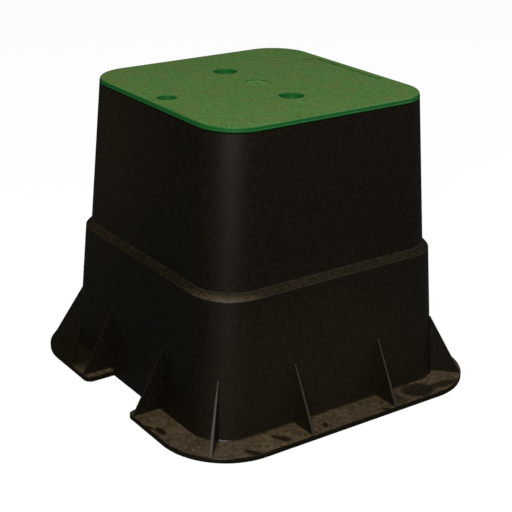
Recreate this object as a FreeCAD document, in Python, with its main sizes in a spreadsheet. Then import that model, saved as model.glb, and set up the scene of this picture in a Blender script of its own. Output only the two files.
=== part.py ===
import FreeCAD, Part
import math
import os
import PartDesign
import Sketcher

# An irrigation valve box: a tall, square, open-bottomed box that is set into the ground over a
# valve, and the green lid that lies on its rim. The box is one moulding of black plastic and the
# lid another of green plastic. +Z is up, and the origin is the middle of the foot's underside.
# The flange's two gaps are in the -X and +X sides, and the lid's lock bolt hole is by the -X side.

# Driving sizes, in millimetres, and the walls' slope in degrees.
SIZES = {
    "overall_height": 305.0,  # ground to lid top
    "top_width": 254.0,  # across the box's rim and the lid
    "top_corner": 42.5,  # upright corners at the rim, and the lid's
    "wall_draft": 3.0,  # slope of the walls
    "wall_thick": 4.0,  # walls of the box
    "inner_corner": 38.0,  # upright corners inside the box
    "neck_corner": 38.5,  # upright corners just above the step
    "shoulder_corner": 43.0,  # upright corners just below the step
    "ground_corner": 38.5,  # upright corners at the ground
    "lower_height": 144.0,  # height of the wider lower part
    "step_rise": 6.5,  # height of the sloped step
    "step_out": 5.8,  # how far the step goes out
    "step_round": 1.5,  # rounding of the step's two edges
    "land_width": 8.0,  # flat rim that the lid lies on
    "land_thick": 6.0,  # depth of that rim
    "flange_width": 31.87,  # foot flange, from the wall at the ground to its edge
    "flange_corner": 71.0,  # corner radius of the foot flange
    "flange_thick": 5.0,  # thickness of the foot flange
    "flange_bevel": 0.8,  # bevel of the flange's upper edge
    "foot_bevel": 1.0,  # bevel in the corner between flange and wall
    "gap_width": 82.0,  # gap in the flange for a pipe
    "gap_round": 8.0,  # round ends of the flange at a gap
    "gusset_offset": 52.0,  # gusset from the middle of its side
    "gusset_rise": 61.5,  # height of a gusset above the flange
    "gusset_foot": 3.4,  # thickness of a gusset at its foot
    "gusset_tip": 1.6,  # thickness of a gusset at its tip
    "gusset_setback": 1.0,  # gusset's foot from the flange's edge
    "gusset_nose": 1.0,  # width of a gusset's tip past the wall
    "bolt_offset": 21.0,  # lock bolt hole from the -X edge of the rim
    "boss_width": 18.0,  # boss that takes the lock bolt
    "boss_length": 45.0,  # height of that boss
    "boss_drop": 3.0,  # boss below the lid's skirt
    "pilot_bore": 6.8,  # hole in the boss for the bolt's thread
    "pilot_depth": 30.0,  # depth of that hole
    "web_thick": 8.0,  # web between the boss and the wall
    "lid_thick": 6.0,  # lid's plate, from the rim up
    "lid_round": 2.0,  # rounding of the lid's upper edge
    "seam_height": 1.4,  # open seam between the rim and the lid's edge
    "seam_depth": 3.0,  # how far in that seam goes
    "bead_height": 1.4,  # bead along the lid's lower edge
    "bead_out": 0.5,  # how far the bead stands out
    "bead_bevel": 0.4,  # bevel of the bead's upper edge
    "skirt_clearance": 1.5,  # skirt to the rim's inner edge
    "skirt_thick": 3.0,  # skirt that keeps the lid in place
    "skirt_depth": 12.0,  # depth of the skirt and the lid's ribs
    "rib_thick": 3.0,  # ribs below the lid
    "rib_spacing": 38.0,  # from one rib to the next
    "rib_count": 5.0,  # ribs each way
    "finger_bore": 24.0,  # the two finger cups
    "finger_spacing": 114.0,  # from one finger cup to the other
    "finger_depth": 6.5,  # depth of a finger cup
    "cup_wall": 2.5,  # plastic around and below the cups
    "cup_bevel": 0.8,  # bevel of the cups' mouths
    "bolt_recess": 19.0,  # recess for the lock bolt's head
    "recess_depth": 5.0,  # depth of that recess
    "bolt_bore": 9.0,  # hole for the lock bolt's shank
    "sleeve_wall": 2.0,  # plastic around that recess and hole
    "mark_width": 26.4,  # round moulding mark in the middle
    "mark_depth": 0.8,  # depth of the mark and the panel
    "gate_width": 3.0,  # nub left by the moulding gate
    "panel_length": 110.0,  # plain sunk panel by the +X edge
    "panel_width": 19.0,  # its width
    "panel_offset": 19.5,  # its middle from the +X edge of the lid
    "panel_corner": 4.0,  # its corner radius
    "small_corner": 0.5,  # corner radius of thin webs and cuts
    "cut_past": 5.0,  # how far the flange's gap is cut past its edge
}

# Levels and widths that follow from the driving sizes.
SEAT = "(dims.overall_height - dims.lid_thick)"
STEP_TOP = "(dims.lower_height + dims.step_rise)"
GUSSET_LOW = "(dims.flange_thick - dims.flange_bevel)"
GUSSET_TOP = "(dims.flange_thick + dims.gusset_rise)"
LAND_LOW = f"({SEAT} - dims.land_thick)"
SKIRT_LOW = f"({SEAT} - dims.skirt_depth)"
BOSS_TOP = f"({SKIRT_LOW} - dims.boss_drop)"
SLOPE = "tan(dims.wall_draft * 1deg)"
NECK_WIDTH = f"(dims.top_width + 2 * ({SEAT} - {STEP_TOP}) * {SLOPE})"
SHOULDER_WIDTH = f"({NECK_WIDTH} + 2 * dims.step_out)"
GROUND_WIDTH = f"({SHOULDER_WIDTH} + 2 * dims.lower_height * {SLOPE})"
FOOT_WIDTH = f"({GROUND_WIDTH} + 2 * dims.flange_width)"
TIP_WIDTH = f"({GROUND_WIDTH} - 2 * {GUSSET_TOP} * {SLOPE})"
TIP_SHARE = f"({GUSSET_TOP} / dims.lower_height)"
TIP_CORNER = f"(dims.ground_corner + {TIP_SHARE} * (dims.shoulder_corner - dims.ground_corner))"
LAND_WIDTH = f"(dims.top_width + 2 * dims.land_thick * {SLOPE})"
OPENING = "(dims.top_width - 2 * dims.land_width)"
OPENING_CORNER = "(dims.top_corner - dims.land_width)"
SKIRT_WIDTH = f"({OPENING} - 2 * dims.skirt_clearance)"
SKIRT_CORNER = f"({OPENING_CORNER} - dims.skirt_clearance)"
LID_EDGE = f"({SEAT} + dims.seam_height)"
BOLT_PLACE = "(dims.top_width / 2 - dims.bolt_offset)"
PANEL_PLACE = "(dims.top_width / 2 - dims.panel_offset)"

# Places closer together than this, in millimetres, count as one when edges are picked.
CLOSE = 0.01
POINTS_PER_EDGE = 5

doc = FreeCAD.newDocument("valve_box")
dims = doc.addObject("Spreadsheet::Sheet", "dims")
for row, (alias, size) in enumerate(SIZES.items(), start=1):
    dims.set(f"A{row}", alias)
    dims.set(f"B{row}", str(size))
    dims.setAlias(f"B{row}", alias)
doc.recompute()


def value_of(expression):
    """The number that an expression in the sheet's names gives."""
    result = dims.evalExpression(expression)
    return float(getattr(result, "Value", result))


def near(number, expression):
    return abs(number - value_of(expression)) < CLOSE


def plane(body, role):
    """One of a body's own origin planes or axes."""
    return next(item for item in body.Origin.OriginFeatures if item.Role == role)


def attach(feature, body, role, offset):
    """Lay a feature on an origin plane; the offset is along the plane's normal."""
    feature.AttachmentSupport = [(plane(body, role), "")]
    feature.MapMode = "FlatFace"
    feature.setExpression("AttachmentOffset.Base.z", offset)


def new_sketch(body, name, level):
    """A level sketch at a height above the ground."""
    sketch = body.newObject("Sketcher::SketchObject", name)
    attach(sketch, body, "XY_Plane", level)
    doc.recompute()
    return sketch


def dimension(sketch, name, kind, places, expression):
    """A named dimension that follows an expression."""
    index = sketch.addConstraint(Sketcher.Constraint(kind, *places, value_of(expression)))
    sketch.renameConstraint(index, name)
    sketch.setExpression(f"Constraints.{name}", expression)


def rounded_rectangle(sketch, tag, across, deep, corner, centre="0"):
    """A rectangle with four equal round corners, its middle at (centre, 0)."""
    x_far = value_of(f"{centre} + {across} / 2")
    x_near = value_of(f"{centre} - {across} / 2")
    half = value_of(f"{deep} / 2")
    radius = value_of(corner)
    corners = [(x_far, half), (x_near, half), (x_near, -half), (x_far, -half)]
    first = sketch.GeometryCount
    for turn, (x, y) in enumerate(corners):
        next_x, next_y = corners[(turn + 1) % 4]
        direction = FreeCAD.Vector(next_x - x, next_y - y, 0).normalize()
        inward = FreeCAD.Vector(-direction.y, direction.x, 0)
        start = FreeCAD.Vector(x, y, 0) + direction * radius
        end = FreeCAD.Vector(next_x, next_y, 0) - direction * radius
        sketch.addGeometry(Part.LineSegment(start, end), False)
        circle = Part.Circle(end + inward * radius, FreeCAD.Vector(0, 0, 1), radius)
        angle = turn * math.pi / 2 + math.pi / 2
        sketch.addGeometry(Part.ArcOfCircle(circle, angle, angle + math.pi / 2), False)
    for turn in range(4):
        line = first + 2 * turn
        arc = line + 1
        next_line = first + 2 * ((turn + 1) % 4)
        sketch.addConstraint(Sketcher.Constraint("Tangent", line, 2, arc, 1))
        sketch.addConstraint(Sketcher.Constraint("Tangent", arc, 2, next_line, 1))
        level = "Horizontal" if turn % 2 == 0 else "Vertical"
        sketch.addConstraint(Sketcher.Constraint(level, line))
        if turn:
            sketch.addConstraint(Sketcher.Constraint("Equal", first + 1, arc))
    top, left, bottom, right = first, first + 2, first + 4, first + 6
    dimension(sketch, f"{tag}_half_deep", "DistanceY", (-1, 1, top, 1), f"{deep} / 2")
    dimension(sketch, f"{tag}_deep", "DistanceY", (bottom, 1, top, 1), deep)
    dimension(sketch, f"{tag}_far", "DistanceX", (-1, 1, right, 1), f"{centre} + {across} / 2")
    dimension(sketch, f"{tag}_across", "DistanceX", (left, 1, right, 1), across)
    dimension(sketch, f"{tag}_corner", "Radius", (first + 1,), corner)


def round_square(sketch, tag, width, corner):
    rounded_rectangle(sketch, tag, width, width, corner)


def disc(sketch, tag, diameter, x="0", y="0"):
    """A full circle with its centre at (x, y)."""
    centre = FreeCAD.Vector(value_of(x), value_of(y), 0)
    circle = Part.Circle(centre, FreeCAD.Vector(0, 0, 1), value_of(diameter) / 2)
    index = sketch.addGeometry(circle, False)
    for name, kind, expression, at in (
        ("x", "DistanceX", x, centre.x),
        ("y", "DistanceY", y, centre.y),
    ):
        if expression == "0":
            axis = -2 if name == "x" else -1
            sketch.addConstraint(Sketcher.Constraint("PointOnObject", index, 3, axis))
        elif at > 0:
            dimension(sketch, f"{tag}_{name}", kind, (-1, 1, index, 3), expression)
        else:
            dimension(sketch, f"{tag}_{name}", kind, (index, 3, -1, 1), f"-({expression})")
    dimension(sketch, f"{tag}_diameter", "Diameter", (index,), diameter)


def extrude(body, kind, name, sketch, length, downwards):
    """A pad or pocket of a sketch; it must change the body's volume."""
    before = body.Shape.Volume if body.Tip else 0.0
    feature = body.newObject(kind, name)
    feature.Profile = sketch
    feature.Reversed = downwards
    feature.setExpression("Length", length)
    doc.recompute()
    adds = kind.endswith("Pad")
    change = feature.Shape.Volume - before
    if (change <= 0) == adds:
        raise RuntimeError(f"{name} changes the volume by {change}")
    return feature


def pad(body, name, sketch, length, downwards=False):
    return extrude(body, "PartDesign::Pad", name, sketch, length, downwards)


def pocket(body, name, sketch, length, downwards=False):
    return extrude(body, "PartDesign::Pocket", name, sketch, length, downwards)


def loft(body, kind, name, sections):
    """A straight-sided loft through rounded squares, each given as level, width and corner."""
    sketches = []
    for number, (level, width, corner) in enumerate(sections):
        sketch = new_sketch(body, f"{name}_{number}", level)
        round_square(sketch, "wall", width, corner)
        sketches.append(sketch)
    doc.recompute()
    feature = body.newObject(kind, name)
    feature.Profile = sketches[0]
    feature.Sections = sketches[1:]
    feature.Ruled = True
    doc.recompute()
    return feature


def edges_where(feature, wanted):
    """Names of the edges whose points all satisfy a test of the point."""
    names = []
    for number, edge in enumerate(feature.Shape.Edges, start=1):
        if all(wanted(point) for point in edge.discretize(POINTS_PER_EDGE)):
            names.append(f"Edge{number}")
    if not names:
        raise RuntimeError(f"no edges found on {feature.Name}")
    return names


def fillet(body, name, feature, wanted, radius):
    rounded = body.newObject("PartDesign::Fillet", name)
    rounded.Base = (feature, edges_where(feature, wanted))
    rounded.setExpression("Radius", radius)
    doc.recompute()
    return rounded


def chamfer(body, name, feature, wanted, size):
    bevelled = body.newObject("PartDesign::Chamfer", name)
    bevelled.Base = (feature, edges_where(feature, wanted))
    bevelled.setExpression("Size", size)
    doc.recompute()
    return bevelled


def repeat(body, name, originals, steps):
    """Copies of features by mirrors, rows and turns, given as type and settings."""
    pattern = body.newObject("PartDesign::MultiTransform", name)
    pattern.Originals = originals
    transformations = []
    for number, (kind, settings) in enumerate(steps):
        step = doc.addObject(kind, f"{name}_{number}")
        body.addObject(step)
        for key, setting in settings.items():
            if isinstance(setting, str):
                step.setExpression(key, setting)
            else:
                setattr(step, key, setting)
        transformations.append(step)
    pattern.Transformations = transformations
    body.Tip = pattern
    doc.recompute()
    return pattern


def turns(body, count, angle=360.0):
    """A polar pattern about the upright axis, as a step for repeat."""
    return ("PartDesign::PolarPattern", {
        "Axis": (plane(body, "Z_Axis"), [""]),
        "Angle": angle,
        "Occurrences": count,
    })


def gusset(body, name, offset, inner, outer, turned=0.0):
    """A gusset standing on the flange: thicker and longer below, thin and short above.

    inner and outer are its distances from the box's axis as (foot, tip) expressions."""
    wedge = body.newObject("PartDesign::AdditiveWedge", name)
    attach(wedge, body, "XZ_Plane", offset)
    turn = FreeCAD.Rotation(FreeCAD.Vector(0, 1, 0), turned)
    wedge.AttachmentOffset = FreeCAD.Placement(wedge.AttachmentOffset.Base, turn)
    for key, expression in (
        ("Ymin", GUSSET_LOW),
        ("Ymax", GUSSET_TOP),
        ("Xmin", inner[0]),
        ("X2min", inner[1]),
        ("Xmax", outer[0]),
        ("X2max", outer[1]),
        ("Zmin", "-dims.gusset_foot / 2"),
        ("Zmax", "dims.gusset_foot / 2"),
        ("Z2min", "-dims.gusset_tip / 2"),
        ("Z2max", "dims.gusset_tip / 2"),
    ):
        wedge.setExpression(key, expression)
    doc.recompute()
    return wedge


def build_box():
    """The box: sloped walls with a step, a rim for the lid, a foot flange and its gussets."""
    body = doc.addObject("PartDesign::Body", "box_body")
    body.Label = "box_body"

    # Foot flange with its outline, and the gap in its -X and +X sides.
    outline = new_sketch(body, "flange_outline", "0")
    round_square(outline, "flange", FOOT_WIDTH, "dims.flange_corner")
    pad(body, "flange", outline, "dims.flange_thick")
    gap_near = f"({GROUND_WIDTH} - dims.wall_thick) / 2"
    gap_far = f"({FOOT_WIDTH} / 2 + dims.cut_past)"
    gap_sketch = new_sketch(body, "gap_outline", "0")
    rounded_rectangle(
        gap_sketch, "gap", f"({gap_far} - {gap_near})", "dims.gap_width",
        "dims.small_corner", f"({gap_far} + {gap_near}) / 2",
    )
    gap = pocket(body, "gap", gap_sketch, "dims.flange_thick", downwards=True)
    gaps = repeat(body, "gaps", [gap], [turns(body, 2)])

    def gap_corner(point):
        outside = near(abs(point.x), f"{FOOT_WIDTH} / 2")
        return outside and near(abs(point.y), "dims.gap_width / 2")

    def upper_rim(point):
        beyond_wall = max(abs(point.x), abs(point.y)) > value_of(f"{GROUND_WIDTH} / 2")
        return near(point.z, "dims.flange_thick") and beyond_wall

    ends = fillet(body, "gap_ends", gaps, gap_corner, "dims.gap_round")
    chamfer(body, "flange_edge", ends, upper_rim, "dims.flange_bevel")

    # Walls: ruled between rounded squares at the ground, the gussets' tips, the step's two
    # edges and the rim. The corners are sharpest at the ground and just above the step.
    walls = loft(body, "PartDesign::AdditiveLoft", "walls", [
        ("0", GROUND_WIDTH, "dims.ground_corner"),
        (GUSSET_TOP, TIP_WIDTH, TIP_CORNER),
        ("dims.lower_height", SHOULDER_WIDTH, "dims.shoulder_corner"),
        (STEP_TOP, NECK_WIDTH, "dims.neck_corner"),
        (SEAT, "dims.top_width", "dims.top_corner"),
    ])

    def step_edge(point):
        return near(point.z, "dims.lower_height") or near(point.z, STEP_TOP)

    def foot_edge(point):
        at_wall = value_of(f"{GROUND_WIDTH} / 2 - dims.flange_thick * {SLOPE}")
        reach = max(abs(point.x), abs(point.y))
        return near(point.z, "dims.flange_thick") and reach < at_wall + CLOSE

    stepped = fillet(body, "step_edges", walls, step_edge, "dims.step_round")
    chamfer(body, "foot_edges", stepped, foot_edge, "dims.foot_bevel")

    # Gussets: two on each side and one on each corner, with their foot at the flange's edge.
    side = gusset(
        body, "side_gusset", "dims.gusset_offset",
        (f"({GROUND_WIDTH} - dims.wall_thick) / 2", f"({TIP_WIDTH} - dims.wall_thick) / 2"),
        (f"{FOOT_WIDTH} / 2 - dims.gusset_setback", f"{TIP_WIDTH} / 2 + dims.gusset_nose"),
    )
    mirror = ("PartDesign::Mirrored", {"MirrorPlane": (plane(body, "XZ_Plane"), [""])})
    repeat(body, "side_gussets", [side], [mirror, turns(body, 4)])

    def on_diagonal(width, corner):
        return f"(({width} / 2 - {corner}) * sqrt(2) + {corner})"

    foot_wall = on_diagonal(GROUND_WIDTH, "dims.ground_corner")
    tip_wall = on_diagonal(TIP_WIDTH, TIP_CORNER)
    flange_end = on_diagonal(FOOT_WIDTH, "dims.flange_corner")
    diagonal = gusset(
        body, "corner_gusset", "0",
        (f"{foot_wall} - dims.wall_thick / 2", f"{tip_wall} - dims.wall_thick / 2"),
        (f"{flange_end} - dims.gusset_setback", f"{tip_wall} + dims.gusset_nose"),
        turned=45.0,
    )
    repeat(body, "corner_gussets", [diagonal], [turns(body, 4)])

    # Hollow: open at the ground, one wall thickness inside the walls, up to the rim.
    inner = "dims.inner_corner"
    loft(body, "PartDesign::SubtractiveLoft", "hollow", [
        ("0", f"({GROUND_WIDTH} - 2 * dims.wall_thick)", inner),
        ("dims.lower_height", f"({SHOULDER_WIDTH} - 2 * dims.wall_thick)", inner),
        (STEP_TOP, f"({NECK_WIDTH} - 2 * dims.wall_thick)", inner),
        (LAND_LOW, f"({LAND_WIDTH} - 2 * dims.wall_thick)", inner),
    ])

    # Opening within the flat rim that carries the lid.
    mouth_sketch = new_sketch(body, "mouth_outline", SEAT)
    round_square(mouth_sketch, "mouth", OPENING, OPENING_CORNER)
    pocket(body, "mouth", mouth_sketch, "dims.land_thick")

    # Boss for the lock bolt, carried by a web on the -X wall, with its pilot hole.
    web_sketch = new_sketch(body, "web_outline", BOSS_TOP)
    web_far = f"(({LAND_WIDTH} - dims.wall_thick) / 2)"
    rounded_rectangle(
        web_sketch, "web", f"({web_far} - {BOLT_PLACE})", "dims.web_thick",
        "dims.small_corner", f"(-({web_far} + {BOLT_PLACE}) / 2)",
    )
    pad(body, "web", web_sketch, "dims.boss_length", downwards=True)
    boss_sketch = new_sketch(body, "boss_outline", BOSS_TOP)
    disc(boss_sketch, "boss", "dims.boss_width", f"-{BOLT_PLACE}")
    pad(body, "boss", boss_sketch, "dims.boss_length", downwards=True)
    pilot_sketch = new_sketch(body, "pilot_outline", BOSS_TOP)
    disc(pilot_sketch, "pilot", "dims.pilot_bore", f"-{BOLT_PLACE}")
    pocket(body, "pilot", pilot_sketch, "dims.pilot_depth")
    return body


def build_lid():
    """The lid: a plate with a beaded edge, cups in its top, and a skirt and ribs below."""
    body = doc.addObject("PartDesign::Body", "lid")
    body.Label = "lid"

    def bead_top(point):
        return near(point.z, f"{LID_EDGE} + dims.bead_height")

    def plate_top(point):
        return near(point.z, "dims.overall_height")

    # Plate: a foot that lies on the rim and leaves an open seam under the lid's edge, a low
    # bead all round, and the plate proper a little inside it.
    foot_sketch = new_sketch(body, "foot_outline", SEAT)
    foot_width = "(dims.top_width - 2 * dims.seam_depth)"
    round_square(foot_sketch, "foot", foot_width, "(dims.top_corner - dims.seam_depth)")
    pad(body, "foot", foot_sketch, "dims.seam_height")
    bead_sketch = new_sketch(body, "bead_outline", LID_EDGE)
    round_square(bead_sketch, "bead", "dims.top_width", "dims.top_corner")
    bead = pad(body, "bead", bead_sketch, "dims.bead_height")
    chamfer(body, "bead_edge", bead, bead_top, "dims.bead_bevel")
    plate_sketch = new_sketch(body, "plate_outline", LID_EDGE)
    plate_corner = "(dims.top_corner - dims.bead_out)"
    round_square(plate_sketch, "plate", "(dims.top_width - 2 * dims.bead_out)", plate_corner)
    plate = pad(body, "plate", plate_sketch, "dims.lid_thick - dims.seam_height")
    fillet(body, "plate_edge", plate, plate_top, "dims.lid_round")

    # Skirt that drops inside the rim, and the grid of ribs within it.
    skirt_sketch = new_sketch(body, "skirt_outline", SEAT)
    round_square(skirt_sketch, "outer", SKIRT_WIDTH, SKIRT_CORNER)
    skirt_inner = f"({SKIRT_WIDTH} - 2 * dims.skirt_thick)"
    round_square(skirt_sketch, "inner", skirt_inner, f"({SKIRT_CORNER} - dims.skirt_thick)")
    pad(body, "skirt", skirt_sketch, "dims.skirt_depth", downwards=True)
    rib_row = "(dims.rib_spacing * (dims.rib_count - 1))"
    rib_length = f"({SKIRT_WIDTH} - dims.skirt_thick)"
    rib_sketch = new_sketch(body, "rib_outline", SEAT)
    rounded_rectangle(
        rib_sketch, "rib", "dims.rib_thick", rib_length,
        "dims.small_corner", f"(-{rib_row} / 2)",
    )
    rib = pad(body, "rib", rib_sketch, "dims.skirt_depth", downwards=True)
    row = ("PartDesign::LinearPattern", {
        "Direction": (plane(body, "X_Axis"), [""]),
        "Length": rib_row,
        "Occurrences": "dims.rib_count",
    })
    repeat(body, "ribs", [rib], [row, turns(body, 2, angle=90.0)])

    # Pads below the plate that carry the cups, and the tall one around the bolt hole.
    front, rear = "-dims.finger_spacing / 2", "dims.finger_spacing / 2"
    under_sketch = new_sketch(body, "cup_pads", SEAT)
    cup_outside = "(dims.finger_bore + 2 * dims.cup_wall)"
    disc(under_sketch, "front", cup_outside, "0", front)
    disc(under_sketch, "rear", cup_outside, "0", rear)
    cup_below = "(dims.finger_depth + dims.cup_wall - dims.lid_thick)"
    pad(body, "cup_floors", under_sketch, cup_below, downwards=True)
    sleeve_sketch = new_sketch(body, "sleeve_outline", SEAT)
    sleeve_width = "(dims.bolt_recess + 2 * dims.sleeve_wall)"
    disc(sleeve_sketch, "sleeve", sleeve_width, f"-{BOLT_PLACE}")
    pad(body, "sleeve", sleeve_sketch, "dims.skirt_depth", downwards=True)

    # Finger cups and the bolt head's recess, sunk from above, and the bolt's hole.
    top = "dims.overall_height"
    cups_sketch = new_sketch(body, "cups_outline", top)
    disc(cups_sketch, "front", "dims.finger_bore", "0", front)
    disc(cups_sketch, "rear", "dims.finger_bore", "0", rear)
    pocket(body, "cups", cups_sketch, "dims.finger_depth")
    recess_sketch = new_sketch(body, "recess_outline", top)
    disc(recess_sketch, "recess", "dims.bolt_recess", f"-{BOLT_PLACE}")
    recess = pocket(body, "recess", recess_sketch, "dims.recess_depth")

    def cup_mouth(point):
        from_finger = math.hypot(point.x, abs(point.y) - value_of(rear))
        from_bolt = math.hypot(point.x + value_of(BOLT_PLACE), point.y)
        on_cup = near(from_finger, "dims.finger_bore / 2")
        on_recess = near(from_bolt, "dims.bolt_recess / 2")
        return near(point.z, top) and (on_cup or on_recess)

    chamfer(body, "cup_mouths", recess, cup_mouth, "dims.cup_bevel")
    bolt_sketch = new_sketch(body, "bolt_outline", top)
    disc(bolt_sketch, "bolt", "dims.bolt_bore", f"-{BOLT_PLACE}")
    pocket(body, "bolt_hole", bolt_sketch, "dims.lid_thick + dims.skirt_depth")

    # Moulding mark with its gate nub in the middle, and the plain panel near the +X edge.
    mark_sketch = new_sketch(body, "mark_outline", top)
    disc(mark_sketch, "mark", "dims.mark_width")
    disc(mark_sketch, "gate", "dims.gate_width")
    pocket(body, "mark", mark_sketch, "dims.mark_depth")
    panel_sketch = new_sketch(body, "panel_outline", top)
    rounded_rectangle(
        panel_sketch, "panel", "dims.panel_width", "dims.panel_length",
        "dims.panel_corner", PANEL_PLACE,
    )
    pocket(body, "panel", panel_sketch, "dims.mark_depth")
    return body


subparts = [build_box(), build_lid()]
doc.recompute()

for item in doc.Objects:
    faults = [state for state in item.State if state in ("Invalid", "Error")]
    if faults:
        raise RuntimeError(f"{item.Name} is {faults}")
for subpart in subparts:
    shape = subpart.Shape
    if shape.isNull() or not shape.isValid() or len(shape.Solids) != 1:
        raise RuntimeError(f"{subpart.Label} is not one valid solid")

os.makedirs("parts", exist_ok=True)
for subpart in subparts:
    subpart.Shape.exportStep(f"parts/{subpart.Label}.step")
    print(subpart.Label, round(subpart.Shape.Volume / 1000.0, 1), "cm3")
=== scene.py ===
import bpy
import math
from collections import namedtuple
from mathutils import Matrix, Vector

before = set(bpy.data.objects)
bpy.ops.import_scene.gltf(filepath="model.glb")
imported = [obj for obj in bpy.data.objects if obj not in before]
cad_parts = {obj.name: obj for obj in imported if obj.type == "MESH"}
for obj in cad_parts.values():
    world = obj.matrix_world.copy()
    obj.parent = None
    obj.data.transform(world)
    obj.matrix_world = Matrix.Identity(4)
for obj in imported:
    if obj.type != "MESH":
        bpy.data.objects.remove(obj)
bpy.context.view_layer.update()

# The box: one tall injection moulding in black polypropylene, open below, that stands on its
# own foot flange. It comes out of the mould with a fine satin grain. Soil and handling have
# left tan dust on what faces up. The outer edges of the gussets are grey, partly rubbed and
# partly a painted highlight, and the walls and the step carry some painted light and shade.
BLACK = "080602"
HAZE = "221c12"
DUST_DARK = "2c2316"
DUST_LIGHT = "524533"
RUBBED_AND_HIGHLIGHT_GREY = "302d26"
BOX_SHEEN = "a09e9c"
DUST_SHEEN = "555045"
PLASTIC_IOR = 1.49
BOX_ROUGHNESS = 0.47
EDGE_ROUGHNESS = 0.25
DUST_ROUGHNESS = 0.85

# Sizes of the patterns. Real dust and the real grain of the mould are too fine to show from
# here, so the speckle and the grain are drawn coarser.
SAG_MM = 70.0
BLOTCH_MM = 30.0
SPECKLE_MM = 3.5
GRAIN_MM = 0.9

# Depths of the relief, how round the edges are and how far a patch's outline wanders, in
# metres.
SAG_DEPTH = 0.0012
GRAIN_DEPTH = 0.00012
EDGE_RADIUS = 0.0008
RAGGED = (0.012, 0.012, 0.0)

# What tells the faces apart: the height of a face in metres, and how far its normal rises,
# from 0 on an upright face to 1 on a level one. A spread is how far from it still counts.
FLANGE_BELOW = 0.1
STEP_HEIGHT = 0.15
STEP_HEIGHT_SPREAD = 0.03
STEP_RISE = 0.7
STEP_RISE_SPREAD = 0.12
GUSSET_RISE = 0.47
GUSSET_RISE_SPREAD = 0.1
LEVEL_FROM = 0.85
LEVEL_TO = 0.98

# Shares of the surface that each layer covers.
HAZE_MOST = 0.36
DUST_LEAST = 0.7
STEP_DUST = 0.1
RUBBED_AND_HIGHLIGHT_SHARE = 0.8

# Soft-edged patches: centre and reach along x, y and z in metres, turn in degrees, and share.
Patch = namedtuple("Patch", "centre reach turn share")

# The ones on the flange hold less dust, and keep this share of it in the middle. Most are dark
# smudges; the long stretch on the right side is painted shade, and the far-left lobe is kept
# almost bare.
THINNED_DUST_PATCHES = [
    Patch((-0.0820, -0.1655, 0.005), (0.0120, 0.0045, 0.02), -59.0, 0.1),
    Patch((-0.1200, -0.1735, 0.005), (0.0090, 0.0045, 0.02), -53.0, 0.1),
    Patch((-0.0305, -0.1695, 0.005), (0.0070, 0.0030, 0.02), 48.0, 0.1),
    Patch((0.0395, -0.1780, 0.005), (0.0060, 0.0040, 0.02), -70.0, 0.1),
    # This long stretch on the right side is painted shade: it keeps less dust, so it reads
    # darker.
    Patch((0.0350, -0.1680, 0.005), (0.0750, 0.0300, 0.02), 0.0, 0.8),
    Patch((0.0640, -0.1680, 0.005), (0.0090, 0.0110, 0.02), 0.0, 0.35),
    Patch((0.0945, -0.1645, 0.005), (0.0200, 0.0155, 0.02), -14.0, 0.08),
    Patch((0.1240, -0.1680, 0.005), (0.0200, 0.0060, 0.02), -4.0, 0.15),
    Patch((-0.1717, -0.0930, 0.005), (0.0090, 0.0035, 0.02), -85.0, 0.1),
    Patch((-0.1785, -0.0790, 0.005), (0.0080, 0.0030, 0.02), -70.0, 0.1),
    Patch((-0.1650, 0.1250, 0.005), (0.0400, 0.0620, 0.02), 0.0, 0.05),
]
# The ones on the walls are painted light, where the haze is laid on thicker, with the share
# that it covers.
# A share below nothing is painted shade, darker than the rest.
WALL_LIGHT_AND_SHADE_PATCHES = [
    Patch((-0.130, 0.130, 0.260), (0.05, 0.16, 0.16), 0.0, 0.5),
    Patch((-0.020, -0.140, 0.040), (0.22, 0.03, 0.13), 0.0, 0.32),
    Patch((-0.138, -0.050, 0.090), (0.02, 0.11, 0.15), 0.0, -0.17),
]
# Round the near corner the step holds more dust, laid on as a painted highlight, and still
# shines, and so does the foot.
STEP_HIGHLIGHT_PATCH = Patch((-0.135, -0.135, 0.143), (0.06, 0.06, 0.008), 0.0, 0.6)
FOOT_PATCH = Patch((-0.150, -0.150, 0.020), (0.06, 0.06, 0.06), 0.0, 1.0)
# The gussets on the left side get less of this grey than the others, down to this share.
LESS_GREY_PATCH = Patch((-0.165, 0.0, 0.030), (0.05, 0.14, 0.15), 0.0, 0.15)


def linear(colour):
    """An sRGB hex colour as a linear RGBA value."""
    channels = [int(colour[i:i + 2], 16) / 255 for i in (0, 2, 4)]
    curved = [c / 12.92 if c <= 0.04045 else ((c + 0.055) / 1.055) ** 2.4 for c in channels]
    return (*curved, 1.0)


def in_use(sockets, key):
    """A socket by its place, or the one of that name that the node has in use."""
    if isinstance(key, int):
        return sockets[key]
    return next(socket for socket in sockets if socket.name == key and socket.enabled)


def node(material, kind, inputs=None, **settings):
    """Add a shader node; each input takes a plain value, an output or a node for its own."""
    made = material.node_tree.nodes.new("ShaderNode" + kind)
    for key, value in settings.items():
        setattr(made, key, value)
    for key, value in (inputs or {}).items():
        if isinstance(value, bpy.types.Node):
            value = next(output for output in value.outputs if output.enabled)
        if isinstance(value, bpy.types.NodeSocket):
            material.node_tree.links.new(value, in_use(made.inputs, key))
        else:
            in_use(made.inputs, key).default_value = value
    return made


def new_material(name):
    """An empty node material with its output node."""
    material = bpy.data.materials.new(name)
    material.use_nodes = True
    material.node_tree.nodes.clear()
    return material, node(material, "OutputMaterial")


def per_mm(size):
    """The noise scale that gives features of this many millimetres."""
    return 1000.0 / size


def dress(name, material):
    """Give a piece of the frame its finish."""
    piece = bpy.data.objects[name]
    piece.data.materials.clear()
    piece.data.materials.append(material)


def place_of(material):
    """Where a point lies on the piece, how far its face's normal rises, and its height."""
    place = node(material, "TexCoord")
    points = place.outputs["Object"]
    rise = node(material, "SeparateXYZ", {0: place.outputs["Normal"]}).outputs["Z"]
    height = node(material, "SeparateXYZ", {0: points}).outputs["Z"]
    return points, rise, height


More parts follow.
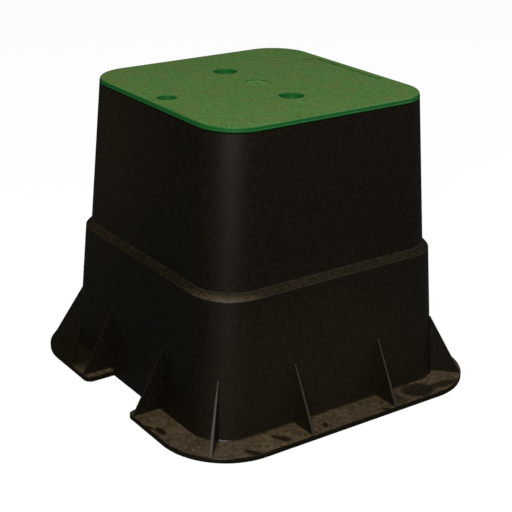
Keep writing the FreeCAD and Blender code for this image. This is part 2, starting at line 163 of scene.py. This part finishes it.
def cover_of(material, points, patch, inner, outer):
    """How far a patch covers a point: 1 within its inner reach and 0 past its outer one."""
    shift = node(material, "Mapping", {
        "Vector": points,
        "Location": patch.centre,
        "Rotation": (0.0, 0.0, math.radians(patch.turn)),
        "Scale": patch.reach,
    }, vector_type="TEXTURE")
    away = node(material, "VectorMath", {0: shift}, operation="LENGTH")
    return node(material, "MapRange", {
        "Value": away, "From Min": inner, "From Max": outer, "To Min": 1.0, "To Max": 0.0,
    }, interpolation_type="SMOOTHSTEP")


def black_polypropylene():
    """Black moulded polypropylene: almost no colour of its own, so the eye gets its satin
    sheen, a dry olive haze with patches of painted light and shade, dust where it faces up,
    a painted highlight on the step's near corner, and grey along the gussets' edges, partly
    rubbed and partly a painted highlight."""
    material, output = new_material("black_polypropylene")
    points, rise, height = place_of(material)
    clouds = node(material, "TexNoise", {
        "Vector": points, "Scale": per_mm(SAG_MM), "Detail": 4.0,
    })
    speckle = node(material, "TexNoise", {
        "Vector": points, "Scale": per_mm(SPECKLE_MM), "Detail": 3.0,
    })
    blotches = node(material, "TexNoise", {
        "Vector": points, "Scale": per_mm(BLOTCH_MM), "Detail": 6.0, "Roughness": 0.65,
    })
    # Points pushed about by a few millimetres, which gives the patches a ragged outline.
    shake = node(material, "VectorMath", {
        0: blotches.outputs["Color"], 1: (0.5, 0.5, 0.5),
    }, operation="SUBTRACT")
    ragged = node(material, "VectorMath", {
        0: shake, 1: RAGGED, 2: points,
    }, operation="MULTIPLY_ADD")

    # Haze: a thin film of dried soil in fine speckles all over, laid on thicker in patches as
    # painted light and thinner in one as painted shade.
    film = node(material, "MapRange", {
        "Value": speckle, "From Min": 0.3, "From Max": 0.7, "To Max": HAZE_MOST,
    })
    for patch in WALL_LIGHT_AND_SHADE_PATCHES:
        light_and_shade = cover_of(material, points, patch, 0.1, 1.2)
        film = node(material, "Math", {
            0: light_and_shade, 1: patch.share, 2: film,
        }, operation="MULTIPLY_ADD")
    skin = node(material, "Mix", {
        "Factor": film, "A": linear(BLACK), "B": linear(HAZE),
    }, data_type="RGBA")

    # Dust: thick on the flange, broken by blotches and by the patches that hold less of it, one
    # of them painted shade.
    low = node(material, "Math", {0: height, 1: FLANGE_BELOW}, operation="LESS_THAN")
    level = node(material, "MapRange", {
        "Value": rise, "From Min": LEVEL_FROM, "From Max": LEVEL_TO, "To Max": low,
    })
    kept = node(material, "MapRange", {
        "Value": blotches, "From Min": 0.36, "From Max": 0.58, "To Min": DUST_LEAST,
    })
    for patch in THINNED_DUST_PATCHES:
        thinned = cover_of(material, ragged, patch, 0.7, 1.15)
        remains = node(material, "Math", {
            0: thinned, 1: patch.share - 1.0, 2: 1.0,
        }, operation="MULTIPLY_ADD")
        kept = node(material, "Math", {0: kept, 1: remains}, operation="MULTIPLY")
    settled = node(material, "Math", {0: kept, 1: level}, operation="MULTIPLY")

    # The step in the wall holds a little of the same dust; round the near corner the extra dust
    # is a painted highlight.
    slope = node(material, "Math", {
        0: rise, 1: STEP_RISE, 2: STEP_RISE_SPREAD,
    }, operation="COMPARE")
    raised = node(material, "Math", {
        0: height, 1: STEP_HEIGHT, 2: STEP_HEIGHT_SPREAD,
    }, operation="COMPARE")
    step = node(material, "Math", {0: slope, 1: raised}, operation="MULTIPLY")
    corner = cover_of(material, points, STEP_HIGHLIGHT_PATCH, 0.1, 1.1)
    dust_and_highlight_on_step = node(material, "Math", {
        0: corner, 1: STEP_HIGHLIGHT_PATCH.share, 2: STEP_DUST,
    }, operation="MULTIPLY_ADD")
    dust_and_step_highlight = node(material, "Math", {0: step, 1: dust_and_highlight_on_step, 2: settled}, operation="MULTIPLY_ADD")
    mottle = node(material, "MapRange", {"Value": speckle, "From Min": 0.28, "From Max": 0.72})
    tan = node(material, "Mix", {
        "Factor": mottle, "A": linear(DUST_DARK), "B": linear(DUST_LIGHT),
    }, data_type="RGBA")
    dusty = node(material, "Mix", {"Factor": dust_and_step_highlight, "A": skin, "B": tan}, data_type="RGBA")

    # Rubbed edges with a painted highlight: the gussets' sloped outer faces, which no other
    # face of the box shares, are made grey.
    steep = node(material, "Math", {
        0: rise, 1: GUSSET_RISE, 2: GUSSET_RISE_SPREAD,
    }, operation="COMPARE")
    less_grey = cover_of(material, points, LESS_GREY_PATCH, 0.9, 1.05)
    wear_and_highlight = node(material, "MapRange", {
        "Value": less_grey, "To Min": RUBBED_AND_HIGHLIGHT_SHARE, "To Max": LESS_GREY_PATCH.share,
    })
    rub_and_highlight = node(material, "Math", {0: steep, 1: wear_and_highlight}, operation="MULTIPLY")
    worn_and_highlit = node(material, "Mix", {
        "Factor": rub_and_highlight, "A": dusty, "B": linear(RUBBED_AND_HIGHLIGHT_GREY),
    }, data_type="RGBA")

    # Grain of the mould, the slight sag that flat moulded walls always have, and edges that
    # are a little rounder than they are drawn.
    soft = node(material, "Bevel", {"Radius": EDGE_RADIUS}, samples=6)
    grain = node(material, "TexNoise", {
        "Vector": points, "Scale": per_mm(GRAIN_MM), "Detail": 2.0,
    })
    sag = node(material, "Bump", {
        "Height": clouds, "Strength": 0.5, "Distance": SAG_DEPTH, "Normal": soft,
    })
    relief = node(material, "Bump", {
        "Height": grain, "Strength": 0.35, "Distance": GRAIN_DEPTH, "Normal": sag,
    })

    # Gloss: none where dust lies or on what slopes, apart from the near corner, where the
    # bevels at the ground are rubbed smooth as well.
    foot = cover_of(material, points, FOOT_PATCH, 0.5, 1.1)
    rounded = node(material, "SeparateXYZ", {0: soft}).outputs["Z"]
    upward = node(material, "MapRange", {"Value": rounded, "From Min": 0.1, "From Max": 0.35})
    shiny = node(material, "Math", {0: corner, 1: foot}, operation="ADD")
    elsewhere = node(material, "Math", {0: 1.0, 1: shiny}, operation="SUBTRACT")
    dull = node(material, "Math", {0: upward, 1: elsewhere}, operation="MULTIPLY")
    matt = node(material, "Math", {0: dull, 1: settled}, operation="MAXIMUM")
    smooth = node(material, "Math", {0: slope, 1: foot}, operation="MULTIPLY")
    bright = node(material, "Mix", {"Factor": smooth, "A": BOX_ROUGHNESS, "B": EDGE_ROUGHNESS})
    roughness = node(material, "Mix", {"Factor": matt, "A": bright, "B": DUST_ROUGHNESS})
    sheen = node(material, "Mix", {
        "Factor": matt, "A": linear(BOX_SHEEN), "B": linear(DUST_SHEEN),
    }, data_type="RGBA")
    surface = node(material, "BsdfPrincipled", {
        "Base Color": worn_and_highlit,
        "Roughness": roughness,
        "IOR": PLASTIC_IOR,
        "Specular Tint": sheen,
        "Normal": relief,
    })
    material.node_tree.links.new(surface.outputs[0], output.inputs["Surface"])
    return material


dress("box_body", black_polypropylene())

# The lid: a green polypropylene moulding that drops onto the rim, with two finger cups, a
# recess for its lock bolt, the ring left by the mould's gate and a plain sunk panel. Its top
# has a fine non-slip relief that holds a dry olive film; rim and cups keep the clean green,
# made darker as painted shade.
CLEAN_GREEN_AND_SHADE = "124f1f"
TOP_DARK = "3c602a"
TOP_LIGHT = "4b763a"
OLIVE = "5f632f"
RING = "68813f"
LID_SHEEN = "959595"
LID_ROUGHNESS = 0.42
TOP_ROUGHNESS = 0.6
SOIL_MOST = 0.5
TREAD_DEPTH = 0.0004

# Sizes of the patterns. The real grains of the tread are about 1 mm, too fine to show from
# here, so they are drawn coarser.
TREAD_MM = 3.4
SCUFF_MM = 10.0

# The worn top begins at this height in metres, fades in over the last part of it, and takes
# in some of the rounded edge, whose normals rise more than this.
LID_TOP = 0.303
LID_TOP_FADE = 0.0015
LID_EDGE_RISE = 0.6

# The round mark in the middle, coloured a little paler than the rest.
RING_PATCH = Patch((0.0, 0.0, 0.304), (0.0128, 0.0128, 0.02), 0.0, 0.22)


def green_polypropylene():
    """Green moulded polypropylene: deep and satin in the cups and round the edge, darker there
    partly as painted shade, lighter and more olive on the top, where the worn tread and its
    film scatter the light."""
    material, output = new_material("green_polypropylene")
    points, rise, height = place_of(material)
    high = node(material, "MapRange", {
        "Value": height, "From Min": LID_TOP - LID_TOP_FADE, "From Max": LID_TOP,
    })
    level = node(material, "MapRange", {
        "Value": rise, "From Min": LID_EDGE_RISE, "From Max": LEVEL_TO, "To Max": high,
    })

    # Tread: small raised grains, darker between them, and redder where soil has stuck.
    grains = node(material, "TexNoise", {
        "Vector": points, "Scale": per_mm(TREAD_MM), "Detail": 3.0, "Roughness": 0.6,
    })
    contrast = node(material, "MapRange", {"Value": grains, "From Min": 0.36, "From Max": 0.64})
    tread = node(material, "Mix", {
        "Factor": contrast, "A": linear(TOP_DARK), "B": linear(TOP_LIGHT),
    }, data_type="RGBA")
    scuffs = node(material, "TexNoise", {
        "Vector": points, "Scale": per_mm(SCUFF_MM), "Detail": 5.0, "Roughness": 0.7,
    })
    soil = node(material, "MapRange", {
        "Value": scuffs, "From Min": 0.42, "From Max": 0.62, "To Max": SOIL_MOST,
    })
    film = node(material, "Mix", {
        "Factor": soil, "A": tread, "B": linear(OLIVE),
    }, data_type="RGBA")
    disc = cover_of(material, points, RING_PATCH, 0.8, 1.1)
    paler = node(material, "Math", {0: disc, 1: RING_PATCH.share}, operation="MULTIPLY")
    top = node(material, "Mix", {
        "Factor": paler, "A": film, "B": linear(RING),
    }, data_type="RGBA")
    # Rim and cups take the clean green, which is darkened partly as painted shade.
    colour = node(material, "Mix", {
        "Factor": level, "A": linear(CLEAN_GREEN_AND_SHADE), "B": top,
    }, data_type="RGBA")
    relief = node(material, "Bump", {
        "Height": grains, "Strength": 0.5, "Distance": TREAD_DEPTH,
    })
    roughness = node(material, "Mix", {"Factor": level, "A": LID_ROUGHNESS, "B": TOP_ROUGHNESS})
    surface = node(material, "BsdfPrincipled", {
        "Base Color": colour,
        "Roughness": roughness,
        "IOR": PLASTIC_IOR,
        "Specular Tint": linear(LID_SHEEN),
        "Normal": relief,
    })
    material.node_tree.links.new(surface.outputs[0], output.inputs["Surface"])
    return material


dress("lid", green_polypropylene())

# Studio floor: a plain pale sheet that the box stands on. Seen directly it is white, and it
# keeps the soft shadow that the box throws on it. What the glossy walls mirror of it is dim.
FLOOR_HALF = 3.0
MIRRORED = "484846"
LIFT_TO_WHITE = 0.95


def pale_sheet():
    """Matt pale sheet: white to the eye, apart from the soft shadow on it."""
    material, output = new_material("pale_sheet")
    sheet = node(material, "BsdfDiffuse", {"Color": linear(MIRRORED)})
    path = node(material, "LightPath")
    lift = node(material, "Math", {
        0: path.outputs["Is Camera Ray"], 1: LIFT_TO_WHITE,
    }, operation="MULTIPLY")
    glow = node(material, "Emission", {"Strength": lift})
    both = node(material, "AddShader", {0: sheet, 1: glow})
    material.node_tree.links.new(both.outputs[0], output.inputs["Surface"])
    return material


bpy.ops.mesh.primitive_plane_add(size=2 * FLOOR_HALF, location=(0.0, 0.0, 0.0))
floor = bpy.context.object
floor.name = "studio_floor"
floor.data.materials.append(pale_sheet())

# Studio light: a small soft lamp beside the camera, whose sheen runs down the box's near
# corner, a larger one high above it, a broad one from the right, and a dim, even room. Sizes
# are in metres, angles in degrees and powers in watts.
MIDDLE = Vector((0.0, 0.0, 0.15))
LAMP_DISTANCE = 2.0
KEY_AZIMUTH = -41.0
KEY_RISE = 24.0
KEY_SIZE = 0.4
KEY_POWER = 32.0
TOP_RISE = 64.0
TOP_SIZE = 0.8
TOP_POWER = 21.0
FILL_AZIMUTH = 60.0
FILL_RISE = 40.0
FILL_SIZE = 1.2
FILL_POWER = 13.0
WHITE = "ffffff"
ROOM = 0.07


def soft_lamp(name, azimuth, rise, size, power):
    """A square soft lamp that looks at the middle of the box."""
    turned, lifted = math.radians(azimuth), math.radians(rise)
    away = Vector((
        math.sin(turned) * math.cos(lifted),
        -math.cos(turned) * math.cos(lifted),
        math.sin(lifted),
    ))
    lamp = bpy.data.lights.new(name, "AREA")
    lamp.size = size
    lamp.energy = power
    holder = bpy.data.objects.new(name, lamp)
    bpy.context.collection.objects.link(holder)
    holder.location = MIDDLE + away * LAMP_DISTANCE
    holder.rotation_euler = (-away).to_track_quat("-Z", "Y").to_euler()


soft_lamp("key_lamp", KEY_AZIMUTH, KEY_RISE, KEY_SIZE, KEY_POWER)
soft_lamp("top_lamp", KEY_AZIMUTH, TOP_RISE, TOP_SIZE, TOP_POWER)
soft_lamp("fill_lamp", FILL_AZIMUTH, FILL_RISE, FILL_SIZE, FILL_POWER)

world = bpy.data.worlds.new("studio_room")
world.use_nodes = True
world.node_tree.nodes.clear()
seen = node(world, "LightPath").outputs["Is Camera Ray"]
backdrop = node(world, "Background", {"Color": linear(WHITE), "Strength": 1.0})
room = node(world, "Background", {"Color": linear(WHITE), "Strength": ROOM})
either = node(world, "MixShader", {0: seen, 1: room, 2: backdrop})
node(world, "OutputWorld", {"Surface": either})
bpy.context.scene.world = world

# Camera: a long lens from the front left and above, a little off centre, as the photograph
# was framed. Angles are in degrees and places in metres.
AZIMUTH = -34.06
ELEVATION = 22.15
ROLL = 0.58
DISTANCE = 1.3125
SIDEWAYS = -0.0351
UPWARDS = -0.0301
LENS = 88.13
SHIFT_X = 0.07

stand = Matrix.Rotation(math.radians(AZIMUTH), 3, "Z")
tilt = Matrix.Rotation(math.radians(90.0 - ELEVATION), 3, "X")
level_axes = stand @ tilt
camera = bpy.data.objects.new("camera", bpy.data.cameras.new("camera"))
bpy.context.collection.objects.link(camera)
camera.location = MIDDLE + level_axes @ Vector((SIDEWAYS, UPWARDS, DISTANCE))
camera.rotation_euler = (level_axes @ Matrix.Rotation(math.radians(ROLL), 3, "Z")).to_euler()
camera.data.lens = LENS
camera.data.shift_x = SHIFT_X
bpy.context.scene.camera = camera
bpy.context.scene.view_settings.view_transform = "Standard"
